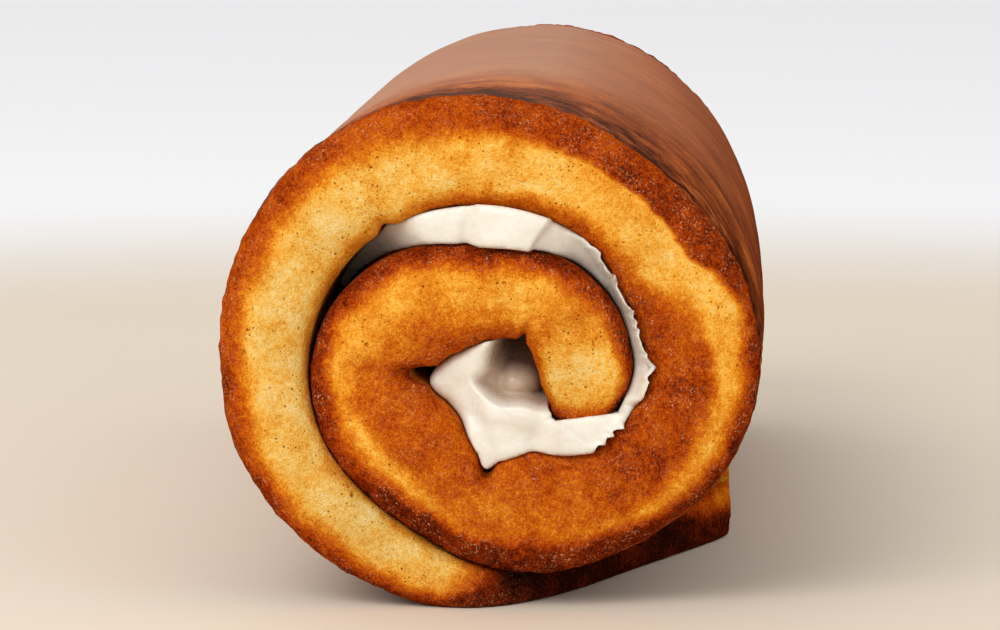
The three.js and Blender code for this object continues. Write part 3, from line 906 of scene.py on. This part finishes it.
class Nodes:
    """Builds a node tree in few words."""

    def __init__(self, name):
        self.material = bpy.data.materials.new(name)
        self.material.use_nodes = True
        self.tree = self.material.node_tree
        self.shader = self.tree.nodes["Principled BSDF"]

    def link(self, value, socket):
        if isinstance(value, bpy.types.NodeSocket):
            self.tree.links.new(value, socket)
        else:
            socket.default_value = value

    def math(self, operation, a, b=0.0, clamp=False):
        node = self.tree.nodes.new("ShaderNodeMath")
        node.operation = operation
        node.use_clamp = clamp
        self.link(a, node.inputs[0])
        self.link(b, node.inputs[1])
        return node.outputs[0]

    def add(self, a, b):
        return self.math("ADD", a, b)

    def times(self, a, b):
        return self.math("MULTIPLY", a, b)

    def graded(self, value, start, slope):
        """A start plus the slope times the value."""
        return self.add(self.times(value, slope), start)

    def between(self, value, low, high, to_low=0.0, to_high=1.0):
        node = self.tree.nodes.new("ShaderNodeMapRange")
        node.interpolation_type = "SMOOTHSTEP"
        for socket, v in zip(node.inputs[:5], (value, low, high, to_low, to_high)):
            self.link(v, socket)
        return node.outputs[0]

    def attribute(self, name, output="Fac"):
        node = self.tree.nodes.new("ShaderNodeAttribute")
        node.attribute_name = name
        return node.outputs[output]

    def place(self, source=None, scale=(1, 1, 1)):
        node = self.tree.nodes.new("ShaderNodeMapping")
        node.inputs["Scale"].default_value = scale
        if source is None:
            source = self.tree.nodes.new("ShaderNodeTexCoord").outputs["Object"]
        self.link(source, node.inputs["Vector"])
        return node.outputs[0]

    def noise(self, place, scale, detail=2.0, roughness=0.5):
        node = self.tree.nodes.new("ShaderNodeTexNoise")
        self.link(place, node.inputs["Vector"])
        node.inputs["Scale"].default_value = scale
        node.inputs["Detail"].default_value = detail
        node.inputs["Roughness"].default_value = roughness
        return self.add(node.outputs["Fac"], -0.5)

    def shifted(self, place, scale, amount):
        """A place moved about a little by noise, so that round cells turn ragged."""
        node = self.tree.nodes.new("ShaderNodeTexNoise")
        self.link(place, node.inputs["Vector"])
        node.inputs["Scale"].default_value = scale
        moved = self.tree.nodes.new("ShaderNodeVectorMath")
        moved.operation = "MULTIPLY_ADD"
        self.link(node.outputs["Color"], moved.inputs[0])
        moved.inputs[1].default_value = (amount, amount, amount)
        self.link(place, moved.inputs[2])
        return moved.outputs[0]

    def cells(self, place, scale):
        node = self.tree.nodes.new("ShaderNodeTexVoronoi")
        self.link(place, node.inputs["Vector"])
        node.inputs["Scale"].default_value = scale
        return node.outputs["Distance"], node.outputs["Color"]

    def red(self, color):
        node = self.tree.nodes.new("ShaderNodeSeparateColor")
        self.link(color, node.inputs[0])
        return node.outputs[0]

    def ramp(self, value, stops):
        node = self.tree.nodes.new("ShaderNodeValToRGB")
        ramp = node.color_ramp
        while len(ramp.elements) < len(stops):
            ramp.elements.new(0.5)
        for element, (position, color) in zip(ramp.elements, stops):
            element.position = position
            element.color = color
        self.link(value, node.inputs["Fac"])
        return node.outputs["Color"]

    def mix(self, share, a, b):
        node = self.tree.nodes.new("ShaderNodeMix")
        node.data_type = "RGBA"
        self.link(share, node.inputs[0])
        self.link(a, node.inputs[6])
        self.link(b, node.inputs[7])
        return node.outputs[2]

    def bump(self, height, distance, strength=1.0):
        node = self.tree.nodes.new("ShaderNodeBump")
        self.link(height, node.inputs["Height"])
        node.inputs["Distance"].default_value = distance
        node.inputs["Strength"].default_value = strength
        self.link(node.outputs[0], self.shader.inputs["Normal"])


# Colours by level of browning. The crumb's level is multiplied by LEVEL_SCALE to give its place in
# a ramp; the skin's level is its place in the ramp.
LEVEL_SCALE = 0.8
WARM_CRUMB = [
    (0.00, srgb(247, 207, 126)),
    (0.08, srgb(245, 193, 94)),
    (0.16, srgb(242, 172, 60)),
    (0.26, srgb(227, 141, 34)),
    (0.37, srgb(206, 110, 20)),
    (0.48, srgb(190, 86, 14)),
    (0.59, srgb(171, 68, 11)),
    (0.69, srgb(142, 48, 8)),
    (0.80, srgb(104, 32, 7)),
    (1.00, srgb(42, 13, 6)),
]
COOL_CRUMB = [
    (0.00, srgb(229, 200, 136)),
    (0.08, srgb(224, 185, 105)),
    (0.16, srgb(219, 168, 76)),
    (0.26, srgb(207, 138, 46)),
    (0.37, srgb(196, 110, 26)),
    (0.48, srgb(178, 85, 18)),
    (0.59, srgb(158, 65, 14)),
    (0.69, srgb(132, 46, 11)),
    (0.80, srgb(98, 32, 9)),
    (1.00, srgb(42, 13, 6)),
]
SKIN = [
    (0.00, srgb(216, 128, 62)),
    (0.35, srgb(176, 90, 40)),
    (0.65, srgb(124, 56, 25)),
    (1.00, srgb(62, 24, 12)),
]
# Painted sheen: the pale colour mixed into the skin where light would reflect off its top.
PAINTED_SHEEN_COLOR = srgb(188, 158, 140)
# Painted glints: the pale colour of small highlights on the browned crumb.
PAINTED_GLINT = srgb(240, 168, 116)

# The crumb's noise, in features per metre, and how ragged its pores are, in metres. The pores come
# in three sizes: cells per metre, a pore's reach in its cell, and the share of cells without one.
MOTTLE_SCALE = 210
SPECK_SCALE = 1250
GRAIN_SCALE = 3000
RAGGED_SCALE, RAGGEDNESS = 2200, 0.0005
PORES = [(430, 0.17, 0.80), (900, 0.2, 0.74), (1700, 0.28, 0.76)]
PORE_DARKNESS = 0.42
CROWDING_SCALE = 130
# The painted glints: their noise in features per metre, and the millimetres along the sheet from
# the loose end over which they come in.
PAINTED_GLINT_SCALE, PAINTED_GLINT_PATCH_SCALE = 2500, 300
PAINTED_GLINT_START = (20.0, 42.0)

# The skin's noise, in features per millimetre along the sheet, along the roll and through it.
WRINKLES = (0.11, 0.17, 0.1)
LINES = (0.2, 0.4, 0.1)
BLOTCHES = (0.09, 0.04, 0.05)


def pore_share(n, place, browned):
    """Ragged pores, crowded in some places, and fainter where the crumb is browned."""
    ragged = n.shifted(place, RAGGED_SCALE, RAGGEDNESS)
    pores = 0.0
    for scale, reach, least in PORES:
        distance, tint = n.cells(ragged, scale)
        present = n.between(n.red(tint), least, least + 0.1)
        pores = n.math("MAXIMUM", pores, n.times(n.between(distance, reach, 0.05), present))
    crowding = n.between(n.noise(place, CROWDING_SCALE, 3), -0.14, 0.14, 0.15, 1.0)
    return n.times(n.times(pores, crowding), n.graded(browned, 1.0, -0.6))


def painted_glint_share(n, place, brown, sheet):
    """Painted glints, small highlights in patches, most where it is browned, and none near the
    loose end.
    """
    painted_glint = n.between(n.noise(place, PAINTED_GLINT_SCALE, 3, 0.7), 0.05, 0.16)
    painted_glint = n.times(painted_glint, n.between(n.noise(place, PAINTED_GLINT_PATCH_SCALE, 2), -0.14, 0.12))
    painted_glint = n.times(painted_glint, n.between(brown, 0.5, 0.8, 0.16, 0.62))
    return n.times(painted_glint, n.between(n.red(sheet), *PAINTED_GLINT_START))


def skin_color(n, sheet, speck, line, near_front, painted_sheen_and_gloss):
    """The skin's wrinkles run along the sheet, and are crowded just behind the front edge."""
    wrinkle = n.noise(n.place(sheet, WRINKLES), 1.0, 4, 0.6)
    blotch = n.noise(n.place(sheet, BLOTCHES), 1.0, 3)
    at_front = n.times(near_front, near_front)
    front_level = n.times(at_front, n.graded(painted_sheen_and_gloss, -0.08, 0.26))
    # Painted sheen and shade: the skin's colour is lighter where the sheen value is high, at the
    # top, and darker where it is low, down the right side.
    level = n.add(n.graded(painted_sheen_and_gloss, 0.84, -0.62), front_level)
    band_level = n.add(n.graded(painted_sheen_and_gloss, 0.02, 0.48), n.times(line, 1.8))
    level = n.add(level, n.times(n.attribute("edge_band"), band_level))
    level = n.add(level, n.times(wrinkle, n.graded(near_front, 0.5, 0.3)))
    level = n.add(level, n.times(line, n.times(at_front, 0.8)))
    level = n.add(level, n.times(n.attribute("ridge"), -0.3))
    level = n.add(level, n.times(blotch, 0.5))
    level = n.math("ADD", level, n.times(speck, 0.35), clamp=True)
    # Painted sheen: a pale colour mixed in where the sheen value is high, for the reflection of
    # light on the top of the skin.
    painted_sheen = n.times(n.times(painted_sheen_and_gloss, painted_sheen_and_gloss), n.times(painted_sheen_and_gloss, n.graded(at_front, 0.6, -0.48)))
    return n.mix(painted_sheen, n.ramp(level, SKIN), PAINTED_SHEEN_COLOR)


def sponge_material():
    n = Nodes("baked_sponge")
    place = n.place()
    brown, skin = n.attribute("brown"), n.attribute("skin")
    sheet = n.attribute("sheet", "Vector")
    near_front, painted_sheen_and_gloss = n.attribute("wrinkled"), n.attribute("painted_sheen_and_gloss")
    mottle = n.noise(place, MOTTLE_SCALE, 4, 0.6)
    speck = n.noise(place, SPECK_SCALE, 4, 0.65)
    grain = n.noise(place, GRAIN_SCALE, 2, 0.6)
    line = n.noise(n.place(sheet, LINES), 1.0, 4, 0.65)
    browned = n.between(brown, 0.3, 0.6)
    level = n.add(brown, n.times(mottle, n.graded(browned, 0.54, -0.14)))
    level = n.add(level, n.times(speck, n.graded(browned, 0.46, 0.22)))
    level = n.add(level, n.times(grain, n.graded(browned, 0.46, 0.34)))
    pores = pore_share(n, place, browned)
    level = n.times(n.add(level, n.times(pores, PORE_DARKNESS)), LEVEL_SCALE)
    crumb = n.mix(n.attribute("tone"), n.ramp(level, WARM_CRUMB), n.ramp(level, COOL_CRUMB))
    # Painted highlights: glints mixed into the crumb's colour.
    crumb = n.mix(painted_glint_share(n, place, brown, sheet), crumb, PAINTED_GLINT)
    color = n.mix(skin, crumb, skin_color(n, sheet, speck, line, near_front, painted_sheen_and_gloss))
    n.link(color, n.shader.inputs["Base Color"])

    rough = n.between(level, 0.3, 0.8, 0.95, 0.8)
    rough = n.add(rough, n.times(skin, 0.1))
    n.link(n.add(rough, n.times(painted_sheen_and_gloss, -0.42)), n.shader.inputs["Roughness"])
    n.shader.inputs["Specular IOR Level"].default_value = 0.0
    height = n.add(n.times(speck, 0.6), n.times(grain, 0.8))
    height = n.add(height, n.times(pores, -1.2))
    height = n.add(height, n.times(n.times(line, skin), n.times(near_front, 1.6)))
    n.bump(height, 0.0004, 0.9)
    return n.material


def cream_material():
    n = Nodes("whipped_cream")
    place = n.place()
    soft = n.noise(place, 160, 2)
    fine = n.noise(place, 1300, 3)
    shade = n.add(0.5, n.add(n.times(soft, 0.8), n.times(fine, 0.3)))
    color = n.ramp(shade, [(0, srgb(225, 216, 200)), (1, srgb(235, 231, 218))])
    # Painted shade: the cream deep in the hollow is mixed towards a tan brown.
    painted_hollow_shade = n.times(n.attribute("painted_hollow_shade"), 0.85)
    n.link(n.mix(painted_hollow_shade, color, srgb(192, 165, 137)), n.shader.inputs["Base Color"])
    n.link(n.add(0.29, n.times(fine, 0.3)), n.shader.inputs["Roughness"])
    n.shader.inputs["Subsurface Weight"].default_value = 0.25
    n.shader.inputs["Subsurface Radius"].default_value = (0.0022, 0.0014, 0.0009)
    n.shader.inputs["Subsurface Scale"].default_value = 1.0
    n.bump(n.add(soft, n.times(fine, 0.3)), 0.0003, 0.35)
    return n.material


def floor_material():
    n = Nodes("pale_floor")
    place = n.place()
    length = n.tree.nodes.new("ShaderNodeVectorMath")
    length.operation = "LENGTH"
    n.link(place, length.inputs[0])
    color = n.ramp(n.between(length.outputs["Value"], 0.3, 0.62),
                   [(0, srgb(224, 208, 188)), (1, srgb(252, 251, 252))])
    n.link(color, n.shader.inputs["Base Color"])
    n.shader.inputs["Roughness"].default_value = 0.85
    return n.material


# ---- stage, in metres, watts and degrees ----

FLOOR_SIZE = 12
FLOOR_HEIGHT = -0.0002
WORLD_COLOR = (0.98, 0.99, 1, 1)
WORLD_STRENGTH = 0.7
LAMP_AIM = (0, -0.05, 0.03)

# Each lamp's name, place, size and power; then the sun's place, angle and strength.
LAMPS = [
    ("key", (-0.55, -0.95, 0.85), 0.8, 9.4),
    ("fill", (0.8, -0.9, 0.5), 0.9, 2.3),
]
SUN = {"place": (-0.5, 1.1, 0.8), "angle": 50, "strength": 0.6}
CAMERA = {
    "lens_mm": 181.66, "sensor_mm": 36, "place": (0.0501, -0.8661, 0.129),
    "looks_down": 6.39, "turned_left": 3.55,
}


def make_stage():
    bpy.ops.mesh.primitive_plane_add(size=FLOOR_SIZE, location=(0, 0, FLOOR_HEIGHT))
    floor = bpy.context.object
    floor.name = "floor"
    floor.data.materials.append(floor_material())
    world = bpy.data.worlds.new("soft_white")
    world.use_nodes = True
    background = world.node_tree.nodes["Background"]
    background.inputs["Color"].default_value = WORLD_COLOR
    background.inputs["Strength"].default_value = WORLD_STRENGTH
    bpy.context.scene.world = world
    for name, place, size, power in LAMPS:
        lamp = bpy.data.lights.new(name, "AREA")
        lamp.size = size
        lamp.energy = power
        put_lamp(lamp, Vector(place))
    sun = bpy.data.lights.new("window_behind", "SUN")
    sun.angle = math.radians(SUN["angle"])
    sun.energy = SUN["strength"]
    put_lamp(sun, Vector(SUN["place"]))


def put_lamp(lamp, place):
    obj = bpy.data.objects.new(lamp.name, lamp)
    obj.visible_camera = False
    obj.location = place
    obj.rotation_euler = (Vector(LAMP_AIM) - place).to_track_quat("-Z", "Y").to_euler()
    bpy.context.scene.collection.objects.link(obj)


def make_camera():
    data = bpy.data.cameras.new("camera")
    data.lens = CAMERA["lens_mm"]
    data.sensor_width = CAMERA["sensor_mm"]
    camera = bpy.data.objects.new("camera", data)
    camera.location = CAMERA["place"]
    tilt, turn = math.radians(90 - CAMERA["looks_down"]), math.radians(CAMERA["turned_left"])
    camera.rotation_euler = (tilt, 0, turn)
    bpy.context.scene.collection.objects.link(camera)
    bpy.context.scene.camera = camera


make_sponge(sponge_material())
make_cream(cream_material())
make_stage()
make_camera()
bpy.context.scene.view_settings.view_transform = "Standard"
